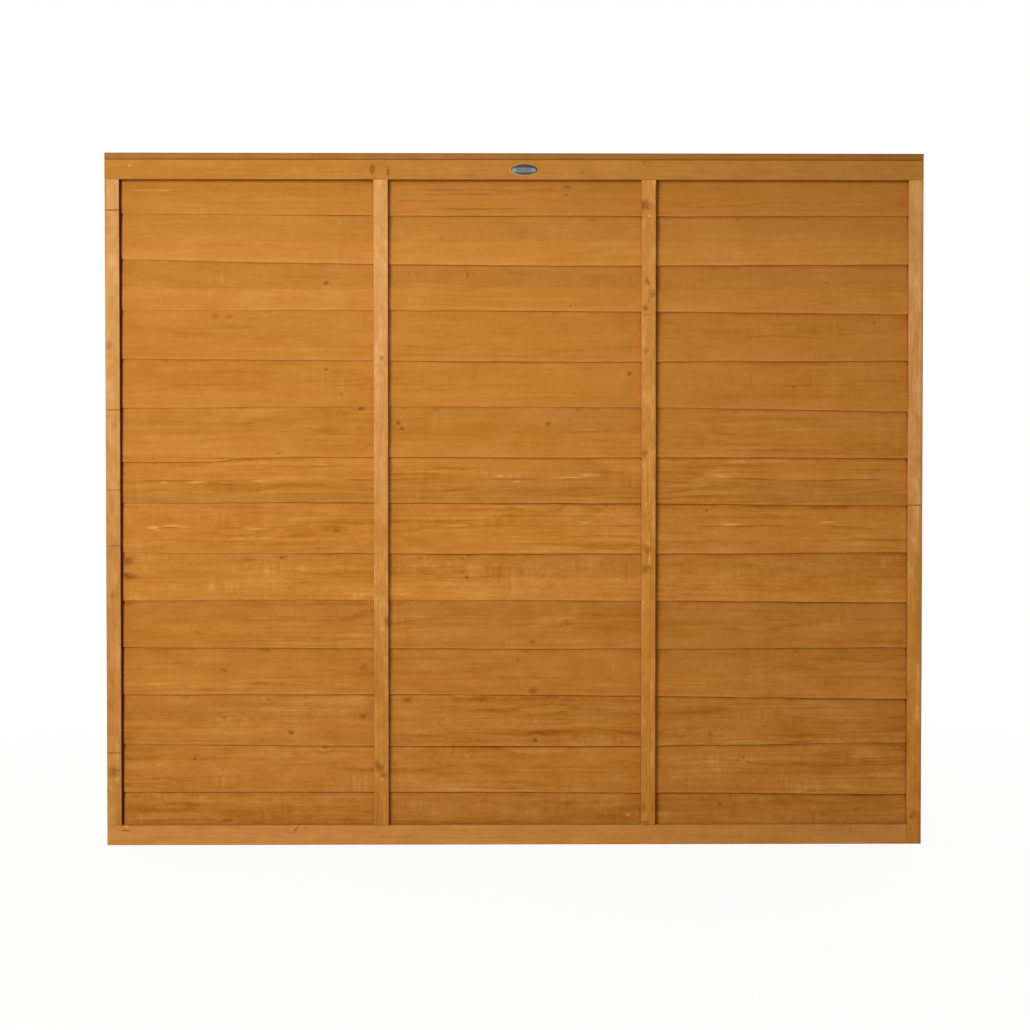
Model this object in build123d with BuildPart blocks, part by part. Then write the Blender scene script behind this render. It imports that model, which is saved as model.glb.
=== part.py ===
"""Lap fence panel.

Thin sawn slats overlap like roof tiles. Each one leans back a little, so that its top lies flat against
the back of the slat above. Two frames of upright battens and level rails hold the slats, one in front
and one behind, and nails driven from the back through every lap tie the layers together. A capping
strip runs along the top, and a bare oval plate sits on the front of the top rail.

The front faces -Y, +X runs to the right along the panel and +Z is up. The origin is in the middle of
the bottom edge, halfway through the slats.
"""

import os
from math import asin, atan2, ceil, cos, degrees, sin

from build123d import *

# Whole panel, in millimetres
panel_width = 1829.0
frame_height = 1534.0  # without the capping strip

# Slats
slat_width = 125.0
slat_thickness = 6.0
least_lap = 15.0  # no lap is shorter than this
slat_end_inset = 3.0  # from the panel's sides to the ends of the slats
gap_below_slats = 6.0  # from the panel's bottom edge to the foot of the lowest slat
gap_above_slats = 1.0  # from the top of the highest slat to the capping strip

# Timbers of the two frames
batten_sides = ["left", "inner_left", "inner_right", "right"]
batten_width = 32.0
rail_height = 44.0
timber_depth = 15.0
timber_arris = 1.2  # rounding of the long edges

# Capping strip
cap_thickness = 15.0
cap_arris = 2.5  # rounding of the two top edges

# Nails of flat wire, with a bar head and a chisel point
nail_width = 2.4
nail_thickness = 1.8
nail_head_width = 5.0
nail_head_thickness = 1.4
nail_point = 3.0
nail_tip_cover = 4.0  # timber left between a nail's tip and the front of the panel
rail_nails_per_bay = 2
cap_nail_grip = 24.0  # how deep the cap's nails go into the rails

# Oval plate
plate_length = 60.0
plate_height = 26.0
plate_end_radius = 7.0
plate_thickness = 1.6
plate_bevel = 1.0
plate_offset = 20.0  # from the panel's middle, to the right

# The laps: the slats share out the frame's height, and their tilt lays each one flat on the next
slat_run = frame_height - gap_below_slats - gap_above_slats - slat_width
slat_count = ceil(slat_run / (slat_width - least_lap)) + 1
slat_pitch = slat_run / (slat_count - 1)
slat_tilt = asin(slat_thickness / slat_pitch)
slat_lap = slat_width * cos(slat_tilt) - slat_pitch
slat_length = panel_width - 2 * slat_end_inset
lowest_foot = gap_below_slats + slat_thickness * sin(slat_tilt)
slat_feet = [lowest_foot + row * slat_pitch for row in range(slat_count)]

# The layers from front to back
slat_layer = slat_width * sin(slat_tilt) + slat_thickness * cos(slat_tilt)
panel_depth = slat_layer + 2 * timber_depth
panel_front = -panel_depth / 2
panel_back = panel_depth / 2
timber_middle = {"front": panel_front + timber_depth / 2, "back": panel_back - timber_depth / 2}

# The lines that the battens stand on, and the heights of the rails
bay_width = (panel_width - batten_width) / (len(batten_sides) - 1)
batten_lines = [batten_width / 2 - panel_width / 2 + n * bay_width for n in range(len(batten_sides))]
batten_head = frame_height - rail_height
rail_middle = {"bottom": rail_height / 2, "top": frame_height - rail_height / 2}
panel_top = frame_height + cap_thickness


def flat_nail(length):
    """One nail with the outside of its head on XY, pointing along +Z."""
    head = nail_head_width / 2
    shank = nail_width / 2
    shoulder = length - nail_point
    with BuildPart() as nail:
        with BuildSketch(Plane.XZ):
            with BuildLine():
                Polyline(
                    (-head, 0),
                    (head, 0),
                    (head, nail_head_thickness),
                    (shank, nail_head_thickness),
                    (shank, shoulder),
                    (0, length),
                    (-shank, shoulder),
                    (-shank, nail_head_thickness),
                    (-head, nail_head_thickness),
                    close=True,
                )
            make_face()
        extrude(amount=nail_thickness / 2, both=True)
    return nail.part


def cut_nail_holes(axis, low, high):
    """Cuts from the timber being built every nail whose middle lies in a stretch of an axis."""
    add(all_nails.filter_by_position(axis, low, high), mode=Mode.SUBTRACT)


def save(piece, name):
    """Labels a finished piece and writes it to its own file."""
    piece.part.label = name
    export_step(piece.part, f"parts/{name}.step")


os.makedirs("parts", exist_ok=True)

# Frame nails: one through the middle of each lap at each batten, and a few along each rail
lap_middles = [foot + slat_lap / 2 for foot in slat_feet[1:]]
lap_nails = [(x, z) for x in batten_lines for z in lap_middles]
nail_step = bay_width / (rail_nails_per_bay + 1)
rail_spots = [x + (n + 1) * nail_step for x in batten_lines[:-1] for n in range(rail_nails_per_bay)]
rail_nails = [(x, z) for x in rail_spots for z in rail_middle.values()]

with BuildPart(Plane((0, panel_back, 0), x_dir=(1, 0, 0), z_dir=(0, -1, 0))) as frame_nails:
    with Locations(*lap_nails, *rail_nails):
        add(flat_nail(panel_depth - nail_tip_cover))
save(frame_nails, "frame_nails")

# Cap nails: driven down into both top rails, over the battens
cap_spots = [(x, y) for x in batten_lines for y in timber_middle.values()]

with BuildPart(Plane((0, 0, panel_top), x_dir=(1, 0, 0), z_dir=(0, 0, -1))) as cap_nails:
    with Locations(*cap_spots):
        add(flat_nail(cap_thickness + cap_nail_grip))
save(cap_nails, "cap_nails")

all_nails = ShapeList(frame_nails.solids() + cap_nails.solids())

# Slats, from the lowest up: the front edge of the foot rests on the front frame, and the back edge of
# the top on the back one
for row, foot in enumerate(slat_feet, start=1):
    face = Plane((0, -slat_layer / 2, foot), x_dir=(1, 0, 0), z_dir=(0, -cos(slat_tilt), sin(slat_tilt)))
    with BuildPart() as slat:
        with BuildSketch(face):
            Rectangle(slat_length, slat_width, align=(Align.CENTER, Align.MIN))
        extrude(amount=-slat_thickness)
        cut_nail_holes(Axis.Z, foot, foot + slat_width)
    save(slat, f"slat_{row:02d}")

# Battens stand between the rails, but the front right one runs down past the end of its bottom rail
for side, y in timber_middle.items():
    for name, x in zip(batten_sides, batten_lines):
        runs_down = side == "front" and name == batten_sides[-1]
        foot = 0 if runs_down else rail_height
        with BuildPart() as batten:
            with BuildSketch(Plane((x, y, foot))):
                RectangleRounded(batten_width, timber_depth, timber_arris)
            extrude(amount=batten_head - foot)
            cut_nail_holes(Axis.X, x - batten_width / 2, x + batten_width / 2)
        save(batten, f"{side}_{name}_batten")

# Rails run the whole width, but the front bottom one stops at the right batten's inner side
for side, y in timber_middle.items():
    for name, z in rail_middle.items():
        stops_short = side == "front" and name == "bottom"
        length = panel_width - batten_width if stops_short else panel_width
        left_end = Plane((-panel_width / 2, y, z), x_dir=(0, 1, 0), z_dir=(1, 0, 0))
        with BuildPart() as rail:
            with BuildSketch(left_end):
                RectangleRounded(timber_depth, rail_height, timber_arris)
            extrude(amount=length)
            cut_nail_holes(Axis.Z, z - rail_height / 2, z + rail_height / 2)
        save(rail, f"{side}_{name}_rail")

# Capping strip, as deep as the whole panel
cap_end = Plane((-panel_width / 2, 0, frame_height), x_dir=(0, 1, 0), z_dir=(1, 0, 0))
with BuildPart() as top_cap:
    with BuildSketch(cap_end) as section:
        Rectangle(panel_depth, cap_thickness, align=(Align.CENTER, Align.MIN))
        fillet(section.vertices().group_by(Axis.Y)[-1], radius=cap_arris)
    extrude(amount=panel_width)
    add(cap_nails, mode=Mode.SUBTRACT)
save(top_cap, "top_cap")

# Oval plate on the front of the top rail: two tight ends joined by two long arcs that meet them smoothly,
# with its front edge bevelled within its thickness
end_middle = plate_length / 2 - plate_end_radius
side_margin = plate_height / 2 - plate_end_radius
side_drop = (end_middle**2 - side_margin**2) / (2 * side_margin)
side_radius = plate_height / 2 + side_drop
end_turn = degrees(atan2(side_drop, end_middle))

plate_seat = Plane((plate_offset, panel_front, rail_middle["top"]), x_dir=(1, 0, 0), z_dir=(0, -1, 0))
with BuildPart() as oval_plate:
    with BuildSketch(plate_seat):
        with BuildLine():
            right_end = CenterArc((end_middle, 0), plate_end_radius, -end_turn, 2 * end_turn)
            upper_side = CenterArc((0, -side_drop), side_radius, end_turn, 180 - 2 * end_turn)
            mirror(right_end, about=Plane.YZ)
            mirror(upper_side, about=Plane.XZ)
        make_face()
    extrude(amount=plate_thickness)
    chamfer(oval_plate.edges().group_by(Axis.Y)[0], length=min(plate_bevel, 0.7 * plate_thickness))
save(oval_plate, "oval_plate")
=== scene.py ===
import math
import random

import bmesh
import bpy
from mathutils import Matrix, Vector, noise


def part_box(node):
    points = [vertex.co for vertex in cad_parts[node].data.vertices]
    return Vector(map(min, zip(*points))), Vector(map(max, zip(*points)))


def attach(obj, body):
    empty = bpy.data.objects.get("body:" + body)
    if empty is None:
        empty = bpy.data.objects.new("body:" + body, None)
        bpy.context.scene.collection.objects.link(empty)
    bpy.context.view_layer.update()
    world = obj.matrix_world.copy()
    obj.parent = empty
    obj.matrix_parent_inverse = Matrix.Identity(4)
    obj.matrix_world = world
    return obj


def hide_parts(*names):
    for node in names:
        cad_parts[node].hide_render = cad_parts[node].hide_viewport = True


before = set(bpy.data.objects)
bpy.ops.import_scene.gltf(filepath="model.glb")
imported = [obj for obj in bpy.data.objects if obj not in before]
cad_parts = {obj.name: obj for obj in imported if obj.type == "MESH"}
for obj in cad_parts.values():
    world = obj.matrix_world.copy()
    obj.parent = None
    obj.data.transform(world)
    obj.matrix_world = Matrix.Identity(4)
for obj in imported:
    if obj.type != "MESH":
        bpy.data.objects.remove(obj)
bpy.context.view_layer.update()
mm = 0.001
print("frame loaded with", len(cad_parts), "nodes")

# Camera, straight in front of the panel and a little to the left of its middle
cameraView = {
    "eye": (-0.035, -4.0, 0.820),
    "aim": (0.0004, 0.0, 0.7407),
    "focalLength": 62.1,  # on a 36 mm sensor
}
cameraData = bpy.data.cameras.new("camera")
cameraData.lens = cameraView["focalLength"]
cameraData.sensor_width = 36
camera = bpy.data.objects.new("camera", cameraData)
camera.location = cameraView["eye"]
lookAlong = Vector(cameraView["aim"]) - Vector(cameraView["eye"])
camera.rotation_euler = lookAlong.to_track_quat("-Z", "Y").to_euler()
bpy.context.collection.objects.link(camera)
bpy.context.scene.camera = camera
bpy.context.scene.view_settings.view_transform = "Standard"
print("camera set")


def linearColour(code):
    parts = [int(code[i:i + 2], 16) / 255 for i in (1, 3, 5)]
    return [p / 12.92 if p <= 0.04045 else ((p + 0.055) / 1.055) ** 2.4 for p in parts] + [1.0]


# Inputs are a list in the order of the node's sockets, or a dictionary by their names or numbers
def addNode(tree, kind, inputs=(), **settings):
    node = tree.nodes.new("ShaderNode" + kind)
    for name, value in settings.items():
        setattr(node, name, value)
    for socket, value in inputs.items() if isinstance(inputs, dict) else enumerate(inputs):
        if isinstance(value, bpy.types.NodeSocket):
            tree.links.new(value, node.inputs[socket])
        else:
            node.inputs[socket].default_value = value
    return node


# The three numbers that a board's vertices keep under one name
def boardValues(tree, name):
    vector = addNode(tree, "Attribute", attribute_name=name).outputs["Vector"]
    return addNode(tree, "SeparateXYZ", [vector]).outputs


def newMaterial(name):
    material = bpy.data.materials.new(name)
    material.use_nodes = True
    material.node_tree.nodes.clear()
    return material


# How the patterns of sawn softwood are read. A span is where a pattern starts and ends to show,
# and how weak and how strong that makes it.
figureSpans = {
    "lateWood": (0.1, 1.0, 0.0, 1.0),
    "rings": (0.38, 0.62, 0.15, 1.0),
    "saw": (0.47, 0.68, 0.0, 1.0),
    "lines": (0.36, 0.64, 0.3, 1.5),
}
figureMiddle = 0.5
smoothly = {"interpolation_type": "SMOOTHSTEP"}
usualFigure = {"rings": 0.2, "saw": 0.0}  # what a pattern is on average, where that isn't the middle
knotReach = 3.0  # how far a knot pushes the rings aside, in half sizes of the knot
arcSpan = (0.42, 0.66)  # where the bend pattern starts and ends to show an arc
arcWidth = 0.55  # half width of the arcs round a knot, in half sizes of the knot
markEdge = 1.2  # where a mark has faded out, in its half sizes


# The grain of one sawn softwood board. It follows the board's own attribute "grain",
# which holds metres along, across and through the board, so rings meet at the arrises.
def softwoodFigure(tree, look):
    grain = addNode(tree, "Attribute", attribute_name="grain").outputs["Vector"]
    place = addNode(tree, "SeparateXYZ", [grain]).outputs
    away = boardValues(tree, "marks")  # from a knot, a pale tear, a dark shake, in half sizes
    pattern = {}
    for name, (along, across, detail) in look["patterns"].items():
        scale = (1 / along, 1 / across, 1 / across)
        spread = addNode(tree, "VectorMath", [grain, scale], operation="MULTIPLY")
        cloud = addNode(tree, "TexNoise", {"Vector": spread.outputs[0], "Scale": 1.0, "Detail": detail})
        pattern[name] = cloud.outputs["Fac"]
    # Growth rings round a pith that lies clear of the board and wanders along it
    pithSide = addNode(tree, "Math", [pattern["pithSide"], -look["pithSway"], place[1]],
                       operation="MULTIPLY_ADD").outputs[0]
    pithDepth = addNode(tree, "Math", [pattern["pithDepth"], look["pithReach"], place[2]],
                        operation="MULTIPLY_ADD").outputs[0]
    fromPith = addNode(tree, "CombineXYZ", [pithSide, pithDepth]).outputs[0]
    radius = addNode(tree, "VectorMath", [fromPith], operation="LENGTH").outputs["Value"]
    radius = addNode(tree, "Math", [pattern["wobble"], look["ringWobble"], radius],
                     operation="MULTIPLY_ADD").outputs[0]
    knotPush = addNode(tree, "MapRange", [away[0], 0.0, knotReach, look["knotPush"], 0.0],
                       **smoothly).outputs[0]
    radius = addNode(tree, "Math", [radius, knotPush], operation="ADD").outputs[0]
    turn = addNode(tree, "Math", [radius, 2 * math.pi / look["ringSpacing"]], operation="MULTIPLY")
    wave = addNode(tree, "Math", [turn.outputs[0]], operation="SINE").outputs[0]
    lateWood = addNode(tree, "MapRange", [wave, *figureSpans["lateWood"]], **smoothly).outputs[0]
    ringShow = addNode(tree, "MapRange", [pattern["ringPatch"], *figureSpans["rings"]]).outputs[0]
    pattern["rings"] = addNode(tree, "Math", [lateWood, ringShow], operation="MULTIPLY").outputs[0]
    sawShow = addNode(tree, "MapRange", [pattern["sawPatch"], *figureSpans["saw"]]).outputs[0]
    sawCentred = addNode(tree, "Math", [pattern["saw"], figureMiddle], operation="SUBTRACT").outputs[0]
    pattern["saw"] = addNode(tree, "Math", [sawCentred, sawShow], operation="MULTIPLY").outputs[0]
    # All patterns added up about the middle, 0 dark to 1 pale, each as strong as the board shows it
    summed = {}
    for part in ("lines", "clouds"):
        summed[part] = -sum(a * usualFigure.get(n, figureMiddle) for n, a in look[part].items())
        for name, amount in look[part].items():
            summed[part] = addNode(tree, "Math", [pattern[name], amount, summed[part]],
                                   operation="MULTIPLY_ADD").outputs[0]
    lineShow = addNode(tree, "MapRange", [pattern["ringPatch"], *figureSpans["lines"]]).outputs[0]
    summed["lines"] = addNode(tree, "Math", [summed["lines"], lineShow],
                              operation="MULTIPLY").outputs[0]
    show = boardValues(tree, "show")  # grain lines, clouds, thin stain
    figure = addNode(tree, "Math", [show[2], figureMiddle], operation="ADD").outputs[0]
    for part, share in (("lines", show[0]), ("clouds", show[1])):
        figure = addNode(tree, "Math", [summed[part], share, figure],
                         operation="MULTIPLY_ADD").outputs[0]
    relief = addNode(tree, "Math", [pattern["saw"], look["sawRelief"], pattern["fibre"]],
                     operation="MULTIPLY_ADD").outputs[0]
    return figure, relief, pattern, place, away


def colourLadder(tree, figure, steps):
    ladder = addNode(tree, "ValToRGB", [figure])
    while len(ladder.color_ramp.elements) < len(steps):
        ladder.color_ramp.elements.new(0.5)
    for element, (position, code) in zip(ladder.color_ramp.elements, steps):
        element.position = position
        element.color = linearColour(code)
    return ladder.outputs["Color"]


# Knots, torn pale fibre and dark shakes, drawn round the distances kept in "marks".
# A knot is a soft brown heart with dark arcs round parts of it.
def paintMarks(tree, colour, pattern, away, look):
    arc = addNode(tree, "MapRange", [pattern["bend"], *arcSpan, 0.0, look["knotDark"]],
                  **smoothly).outputs[0]
    for i, (code, strength, soft, ragged, frayedBy) in enumerate(look["marks"]):
        edge = addNode(tree, "Math", [pattern[frayedBy], ragged, away[i]],
                       operation="MULTIPLY_ADD").outputs[0]
        fade = [soft + ragged / 2, markEdge + ragged / 2, strength, 0.0]
        mask = addNode(tree, "MapRange", [edge, *fade], **smoothly).outputs[0]
        if i == 0:
            knotRing = look["knotRing"] + ragged / 2
            fromRing = addNode(tree, "Math", [edge, knotRing], operation="SUBTRACT").outputs[0]
            fromRing = addNode(tree, "Math", [fromRing], operation="ABSOLUTE").outputs[0]
            ring = addNode(tree, "MapRange", [fromRing, 0.0, arcWidth, 1.0, 0.0], **smoothly).outputs[0]
            ring = addNode(tree, "Math", [ring, arc], operation="MULTIPLY").outputs[0]
            mask = addNode(tree, "Math", [mask, ring], operation="MAXIMUM").outputs[0]
        colour = addNode(tree, "Mix", {0: mask, 6: colour, 7: linearColour(code)},
                         data_type="RGBA").outputs[2]
    return colour


def sawnSurface(tree, colour, figure, relief, look):
    rough = addNode(tree, "MapRange", [figure, 0.0, 1.0, look["roughDark"], look["roughPale"]])
    bump = addNode(tree, "Bump", {"Height": relief, "Strength": look["reliefStrength"],
                                  "Distance": look["reliefDepth"]})
    shader = addNode(tree, "BsdfPrincipled", {
        "Base Color": colour,
        "Roughness": rough.outputs[0],
        "IOR": 1.5,
        "Specular IOR Level": 0.04,  # dry stain, hardly any shine
        "Normal": bump.outputs[0],
    })
    addNode(tree, "OutputMaterial", [shader.outputs[0]])


# Patterns are metres along and across the grain, then noise detail. Spans are as for the figure.
slatLook = {
    "patterns": {
        "pithSide": (2.4, 9.0, 0.0),
        "pithDepth": (3.3, 9.0, 0.0),
        "wobble": (0.24, 0.050, 2.0),
        "ringPatch": (0.45, 0.045, 1.0),
        "streak": (0.36, 0.0105, 2.0),
        "line": (0.40, 0.0036, 1.0),
        "broad": (0.75, 0.070, 1.0),
        "blotch": (0.12, 0.042, 2.0),
        "mottle": (0.042, 0.018, 2.0),
        "fibre": (0.034, 0.0020, 2.0),
        "fuzz": (0.009, 0.006, 2.0),
        "rag": (0.013, 0.007, 2.0),
        "bend": (0.020, 0.012, 0.0),
        "lapShadeReach": (0.026, 0.300, 1.0),
        "saw": (0.013, 0.140, 1.0),
        "sawPatch": (0.22, 0.045, 1.0),
        "stretch": (0.15, 0.40, 1.0),
    },
    "pithSway": 0.16,
    "pithReach": 0.16,
    "ringSpacing": 11 * mm,  # over twice a real one, so that it shows in the render
    "ringWobble": 0.034,
    "knotPush": 7 * mm,
    "lines": {"rings": -0.09, "streak": 0.34, "line": 0.18, "fibre": 0.17},
    "clouds": {"broad": 0.34, "blotch": 0.45, "mottle": 0.30, "fuzz": 0.26, "saw": 0.50},
    "steps": [(0.0, "#8d4f12"), (0.35, "#b57124"), (0.6, "#c68337"), (1.0, "#dfa658")],
    # colour, strength, softness, raggedness and what frays it: knots, pale tears, dark shakes
    "marks": [("#6e350a", 0.50, 0.00, 1.1, "rag"), ("#e6af60", 0.66, 0.10, 2.2, "fibre"),
              ("#743c0c", 0.47, 0.00, 1.5, "fibre")],
    "knotRing": 0.45,
    "knotDark": 0.64,
    # painted highlight along the lower arris
    "edgeHighlightTint": "#dca35a",
    "edgeHighlightBand": 12 * mm,
    "edgeHighlightShare": 0.25,
    # painted shade under the lap of the slat above
    "lapShade": "#6b2a05",
    "lapBand": 8 * mm,
    "lapShadeStrength": 0.26,
    "lapSpan": (0.36, 0.62, 0.25, 1.0),
    "lapShadeReachSpan": (0.52, 0.85, 0.0, 9 * mm),
    # painted shade on the slats beside the battens
    "cornerShade": "#5c1d05",
    "cornerBand": 3 * mm,
    "cornerShadeStrength": 0.92,
    "stepShade": "#854510",
    "stepLine": 0.50,
    "stepBand": (0.2 * mm, 3.0 * mm),
    "stepSpan": (0.46, 0.60, 0.0, 1.0),
    # height over which the tone of the upper half comes, and its share there
    "toneAtStep": (-1.5 * mm, 1.5 * mm, 0.0, 0.5),
    "toneUpBoard": (0.0, 107.85 * mm, 0.0, 0.9),
    "sawRelief": 1.5,
    "reliefStrength": 0.5,
    "reliefDepth": 0.5 * mm,
    "roughDark": 0.72,
    "roughPale": 0.86,
}


# Spruce slats, deep sawn from both edges and dipped in a golden brown stain: matt, fuzzy,
# mostly darker where the upper saw cut ran, with upright saw marks and a step where the cuts meet.
def dipStainedSlat(name, look):
    material = newMaterial(name)
    tree = material.node_tree
    figure, relief, pattern, place, away = softwoodFigure(tree, look)
    tone = boardValues(tree, "boardTone")  # whole board, its upper half, height above the step
    edges = boardValues(tree, "edges")  # metres above its own edge, below the lap, beside a batten
    # A painted highlight makes the lower arris a little paler, in stretches
    edgeHighlight = addNode(tree, "MapRange",
                   [edges[0], 0.0, look["edgeHighlightBand"], look["edgeHighlightShare"], 0.0]).outputs[0]
    edgeHighlight = addNode(tree, "Math", [edgeHighlight, pattern["blotch"]], operation="MULTIPLY").outputs[0]
    # Painted shade under the lap of the slat above and beside the battens, and stain along the saw
    # step, in stretches
    uneven = addNode(tree, "MapRange", [pattern["stretch"], *look["lapSpan"]]).outputs[0]
    lapShadeReach = addNode(tree, "MapRange", [pattern["lapShadeReach"], *look["lapShadeReachSpan"]], **smoothly).outputs[0]
    belowLap = addNode(tree, "Math", [edges[1], lapShadeReach], operation="SUBTRACT").outputs[0]
    underLap = addNode(tree, "MapRange", [belowLap, 0.0, look["lapBand"], look["lapShadeStrength"], 0.0],
                       **smoothly).outputs[0]
    underLap = addNode(tree, "Math", [underLap, uneven], operation="MULTIPLY").outputs[0]
    beside = [edges[2], 0.0, look["cornerBand"], look["cornerShadeStrength"], 0.0]
    besideBatten = addNode(tree, "MapRange", beside, **smoothly).outputs[0]
    fromStep = addNode(tree, "Math", [tone[2]], operation="ABSOLUTE").outputs[0]
    stepLine = addNode(tree, "MapRange", [fromStep, *look["stepBand"], look["stepLine"], 0.0],
                       **smoothly).outputs[0]
    stepShow = addNode(tree, "MapRange", [pattern["stretch"], *look["stepSpan"]]).outputs[0]
    sawStep = addNode(tree, "Attribute", attribute_name="sawStep").outputs["Fac"]
    for share in (stepShow, sawStep):
        stepLine = addNode(tree, "Math", [stepLine, share], operation="MULTIPLY").outputs[0]
    colour = colourLadder(tree, figure, look["steps"])
    # Mixed in: painted highlight on the lower arris, painted shade under the lap and beside the
    # battens, stain at the saw step
    for share, code in ((edgeHighlight, "edgeHighlightTint"), (underLap, "lapShade"), (besideBatten, "cornerShade"),
                        (stepLine, "stepShade")):
        colour = addNode(tree, "Mix", {0: share, 6: colour, 7: linearColour(look[code])},
                         data_type="RGBA").outputs[2]
    colour = paintMarks(tree, colour, pattern, away, look)
    # Part of the change of tone comes at the saw step, and more slowly up the board
    atStep = addNode(tree, "MapRange", [tone[2], *look["toneAtStep"]], **smoothly).outputs[0]
    slowly = addNode(tree, "MapRange", [place[1], *look["toneUpBoard"]]).outputs[0]
    rise = addNode(tree, "Math", [atStep, slowly], operation="ADD").outputs[0]
    change = addNode(tree, "Math", [tone[1], 1.0], operation="SUBTRACT").outputs[0]
    upper = addNode(tree, "Math", [change, rise, 1.0], operation="MULTIPLY_ADD").outputs[0]
    bright = addNode(tree, "Math", [upper, tone[0]], operation="MULTIPLY").outputs[0]
    colour = addNode(tree, "VectorMath", {0: colour, "Scale": bright}, operation="SCALE").outputs[0]
    sawnSurface(tree, colour, figure, relief, look)
    return material


frameLook = {
    "patterns": {
        "pithSide": (2.0, 9.0, 0.0),
        "pithDepth": (2.7, 9.0, 0.0),
        "wobble": (0.16, 0.030, 2.0),
        "ringPatch": (0.30, 0.030, 1.0),
        "streak": (0.30, 0.0060, 2.0),
        "line": (0.45, 0.0026, 1.0),
        "blotch": (0.08, 0.024, 2.0),
        "mottle": (0.026, 0.013, 2.0),
        "fibre": (0.026, 0.0018, 2.0),
        "rag": (0.009, 0.006, 2.0),
        "bend": (0.015, 0.014, 0.0),
        "saw": (0.014, 0.060, 1.0),
        "sawPatch": (0.20, 0.060, 1.0),
    },
    "pithSway": 0.10,
    "pithReach": 0.12,
    "ringSpacing": 8 * mm,  # about twice a real one, so that it shows in the render
    "ringWobble": 0.024,
    "knotPush": 6 * mm,
    "lines": {"rings": -0.10, "streak": 0.34, "line": 0.16},
    "clouds": {"blotch": 0.70, "mottle": 0.56, "fibre": 0.15, "saw": 0.24},
    "steps": [(0.0, "#975e17"), (0.35, "#b4742a"), (0.6, "#c48337"), (1.0, "#dfa85a")],
    "paleSteps": [(0.0, "#b0773d"), (0.35, "#ca8e4d"), (0.6, "#d69d5d"), (1.0, "#ecc088")],
    "marks": [("#743a0c", 0.56, 0.00, 0.9, "rag"), ("#efbd7c", 0.55, 0.00, 1.4, "rag"),
              ("#5f2d07", 0.66, 0.15, 0.6, "rag")],
    "knotRing": 0.50,
    "knotDark": 0.58,
    # painted shade in the corners against the slats and along some arrises
    "cornerShade": "#5c1d05",
    "sawRelief": 1.0,
    "reliefStrength": 0.5,
    "reliefDepth": 0.5 * mm,
    "roughDark": 0.70,
    "roughPale": 0.84,
}


# Softwood battens and rails with the same dip stain: thinner and peach coloured towards the top
# of a batten, with painted shade in the corners against the slats.
def dipStainedFrame(name, look):
    material = newMaterial(name)
    tree = material.node_tree
    figure, relief, pattern, _, away = softwoodFigure(tree, look)
    tone = boardValues(tree, "boardTone")  # whole board, paleness, corner shade
    deep = colourLadder(tree, figure, look["steps"])
    pale = colourLadder(tree, figure, look["paleSteps"])
    colour = addNode(tree, "Mix", {0: tone[1], 6: deep, 7: pale}, data_type="RGBA").outputs[2]
    colour = paintMarks(tree, colour, pattern, away, look)
    # Painted shade in the corners, along the cap's and top rail's arrises and the right batten's outer
    # arris
    colour = addNode(tree, "Mix", {0: tone[2], 6: colour, 7: linearColour(look["cornerShade"])},
                     data_type="RGBA").outputs[2]
    colour = addNode(tree, "VectorMath", {0: colour, "Scale": tone[0]}, operation="SCALE").outputs[0]
    sawnSurface(tree, colour, figure, relief, look)
    return material


zincLook = {
    "spangle": 1.2 * mm,
    "cloud": 3 * mm,
    "tones": [(0.0, "#85888a"), (1.0, "#b3b6b7")],
    "rough": (0.3, 0.7, 0.38, 0.58),
    "relief": 0.1 * mm,
}


# Galvanised wire nails: dull zinc with a faint spangle
def galvanisedSteel(name):
    material = newMaterial(name)
    tree = material.node_tree
    place = addNode(tree, "TexCoord").outputs["Object"]
    spangle = addNode(tree, "TexVoronoi",
                      {"Vector": place, "Scale": 1 / zincLook["spangle"]}).outputs["Color"]
    cloud = addNode(tree, "TexNoise", {"Vector": place, "Scale": 1 / zincLook["cloud"],
                                       "Detail": 2.0}).outputs["Fac"]
    grey = addNode(tree, "SeparateColor", [spangle]).outputs[0]
    colour = colourLadder(tree, grey, zincLook["tones"])
    rough = addNode(tree, "MapRange", [cloud, *zincLook["rough"]]).outputs[0]
    bump = addNode(tree, "Bump", {"Height": cloud, "Strength": 0.2,
                                  "Distance": zincLook["relief"]}).outputs[0]
    shader = addNode(tree, "BsdfPrincipled", {"Base Color": colour, "Metallic": 1.0, "Roughness": rough,
                                              "Normal": bump})
    addNode(tree, "OutputMaterial", [shader.outputs[0]])
    return material


aluminiumLook = {
    "brush": (9 * mm, 0.4 * mm, 0.4 * mm),
    "brushSpan": (0.3, 0.7),
    "rough": (0.34, 0.46),
    "relief": 0.05 * mm,
    "endsFade": 8 * mm,
}


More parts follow.
